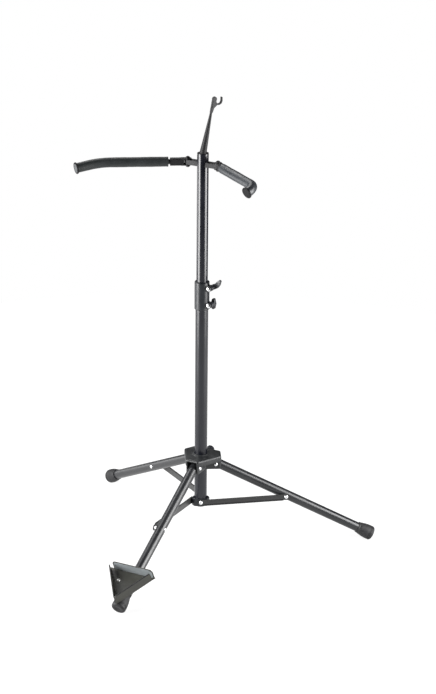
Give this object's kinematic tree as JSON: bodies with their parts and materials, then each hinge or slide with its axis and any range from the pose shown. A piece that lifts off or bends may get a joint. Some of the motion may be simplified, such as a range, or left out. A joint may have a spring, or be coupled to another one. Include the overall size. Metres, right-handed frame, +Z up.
{
  "type": "folding cello stand",
  "caption": "Folding tripod floor stand for a cello, with a telescopic column, two rubber-covered support arms, a bow hook and a triangular tray for the endpin on its front leg.",
  "frame": {"origin": "middle of the footprint box, on the floor", "axes": "+Z up along the column, front leg and tray towards -Y, +X to the right seen from the front"},
  "size_m": [0.6146, 0.545, 0.9201],
  "materials": {
    "black_tube": "semi-gloss black powder coat",
    "leg_tube": "semi-gloss black powder coat",
    "black_steel": "satin black powder coat on pressed steel",
    "black_plastic": "moulded black nylon",
    "rubber_cover": "smooth dark grey rubber",
    "cap_plastic": "moulded grey plastic",
    "foot_rubber": "black rubber",
    "fastener_steel": "bright zinc-plated steel",
    "tray_paint": "satin grey-black powder coat"
  },
  "bodies": {
    "column": {"lower_tube": "black_tube", "brace_collar": "black_plastic", "collar_rivets": "fastener_steel", "clamp_sleeve": "black_plastic", "clamp_bolts": "fastener_steel"},
    "hub": {"leg_hub": "black_plastic", "hub_pivot_rivets": "fastener_steel"},
    "hub_knob": {"hub_lock_knob": "black_plastic", "hub_lock_stud": "fastener_steel"},
    "upper_column": {"upper_tube": "black_tube", "tube_guide": "black_plastic", "arm_bracket": "black_steel", "arm_pivot_bolts": "black_steel"},
    "hook": {"bow_hook": "black_plastic"},
    "tray": {"endpin_tray": "tray_paint", "tray_saddle": "black_steel", "tray_cradle": "black_plastic", "tray_bolts": "fastener_steel"},
    "height_lever": {"clamp_lever": "black_plastic"},
    "height_thumb_nut": {"thumb_nut": "black_plastic"},
    "leg_front": {"leg_tube_front": "leg_tube", "foot_cap_front": "foot_rubber", "leg_rivet_front": "fastener_steel"},
    "link_front": {"brace_front": "black_steel", "brace_rivet_front": "fastener_steel"},
    "leg_right": {"leg_tube_right": "leg_tube", "foot_cap_right": "foot_rubber", "leg_rivet_right": "fastener_steel"},
    "link_right": {"brace_right": "black_steel", "brace_rivet_right": "fastener_steel"},
    "leg_left": {"leg_tube_left": "leg_tube", "foot_cap_left": "foot_rubber", "leg_rivet_left": "fastener_steel"},
    "link_left": {"brace_left": "black_steel", "brace_rivet_left": "fastener_steel"},
    "arm_left": {"arm_fork_left": "black_steel", "arm_tube_left": "black_steel", "arm_cover_left": "rubber_cover", "arm_end_cap_left": "cap_plastic"},
    "arm_right": {"arm_fork_right": "black_steel", "arm_tube_right": "black_steel", "arm_cover_right": "rubber_cover", "arm_end_cap_right": "cap_plastic"}
  },
  "joints": [
    {"name": "fold_slide", "type": "slide", "parent": "column", "child": "hub", "axis": [0, 0, 1], "range_m": [0, 0.23962]},
    {"name": "leg_front_hinge", "type": "hinge", "parent": "hub", "child": "leg_front", "pos_m": [0, 0.05899, 0.17536], "axis": [1, 0, 0], "range_deg": [-0.5, 57]},
    {"name": "link_front_hinge", "type": "hinge", "parent": "column", "child": "link_front", "pos_m": [0, 0.08799, 0.0928], "axis": [-1, 0, 0], "range_deg": [-0.5, 71.88]},
    {"name": "leg_right_hinge", "type": "hinge", "parent": "hub", "child": "leg_right", "pos_m": [0.02511, 0.10249, 0.17536], "axis": [-0.5, 0.866, 0], "range_deg": [-0.5, 57]},
    {"name": "link_right_hinge", "type": "hinge", "parent": "column", "child": "link_right", "pos_m": [0, 0.08799, 0.0928], "axis": [0.5, -0.866, 0], "range_deg": [-0.5, 71.88]},
    {"name": "leg_left_hinge", "type": "hinge", "parent": "hub", "child": "leg_left", "pos_m": [-0.02511, 0.10249, 0.17536], "axis": [-0.5, -0.866, 0], "range_deg": [-0.5, 57]},
    {"name": "link_left_hinge", "type": "hinge", "parent": "column", "child": "link_left", "pos_m": [0, 0.08799, 0.0928], "axis": [0.5, 0.866, 0], "range_deg": [-0.5, 71.88]},
    {"name": "height_slide", "type": "slide", "parent": "column", "child": "upper_column", "axis": [0, 0, 1], "range_m": [-0.2, 0.11]},
    {"name": "arm_left_swivel", "type": "hinge", "parent": "upper_column", "child": "arm_left", "pos_m": [-0.032, 0.08799, 0.7928], "axis": [0, 0, 1], "range_deg": [-40, 40]},
    {"name": "arm_right_swivel", "type": "hinge", "parent": "upper_column", "child": "arm_right", "pos_m": [0.032, 0.08799, 0.7928], "axis": [0, 0, 1], "range_deg": [-40, 40]},
    {"name": "hook_swivel", "type": "hinge", "parent": "upper_column", "child": "hook", "pos_m": [0, 0.08799, 0.814], "axis": [0, 0, 1], "range_deg": [-90, 90]},
    {"name": "lever_turn", "type": "hinge", "parent": "column", "child": "height_lever", "pos_m": [0.01778, 0.08517, 0.5453], "axis": [0.1564, 0.9877, 0], "range_deg": [-60, 45]},
    {"name": "thumb_nut_turn", "type": "hinge", "parent": "column", "child": "height_thumb_nut", "pos_m": [0.01778, 0.08517, 0.511], "axis": [0.1564, 0.9877, 0], "range_deg": [-35, 35]},
    {"name": "lock_knob_turn", "type": "hinge", "parent": "hub", "child": "hub_knob", "pos_m": [0, 0.11968, 0.186], "axis": [0, 1, 0], "continuous": true},
    {"name": "tray_slide", "type": "slide", "parent": "leg_front", "child": "tray", "axis": [0, -0.887, -0.4617], "range_m": [-0.06, 0]}
  ],
  "couplings": [
    {"joint": "leg_front_hinge", "follows": "fold_slide", "rad_per_m": 4.1153},
    {"joint": "link_front_hinge", "follows": "fold_slide", "rad_per_m": 5.1992},
    {"joint": "leg_right_hinge", "follows": "fold_slide", "rad_per_m": 4.1153},
    {"joint": "link_right_hinge", "follows": "fold_slide", "rad_per_m": 5.1992},
    {"joint": "leg_left_hinge", "follows": "fold_slide", "rad_per_m": 4.1153},
    {"joint": "link_left_hinge", "follows": "fold_slide", "rad_per_m": 5.1992}
  ]
}
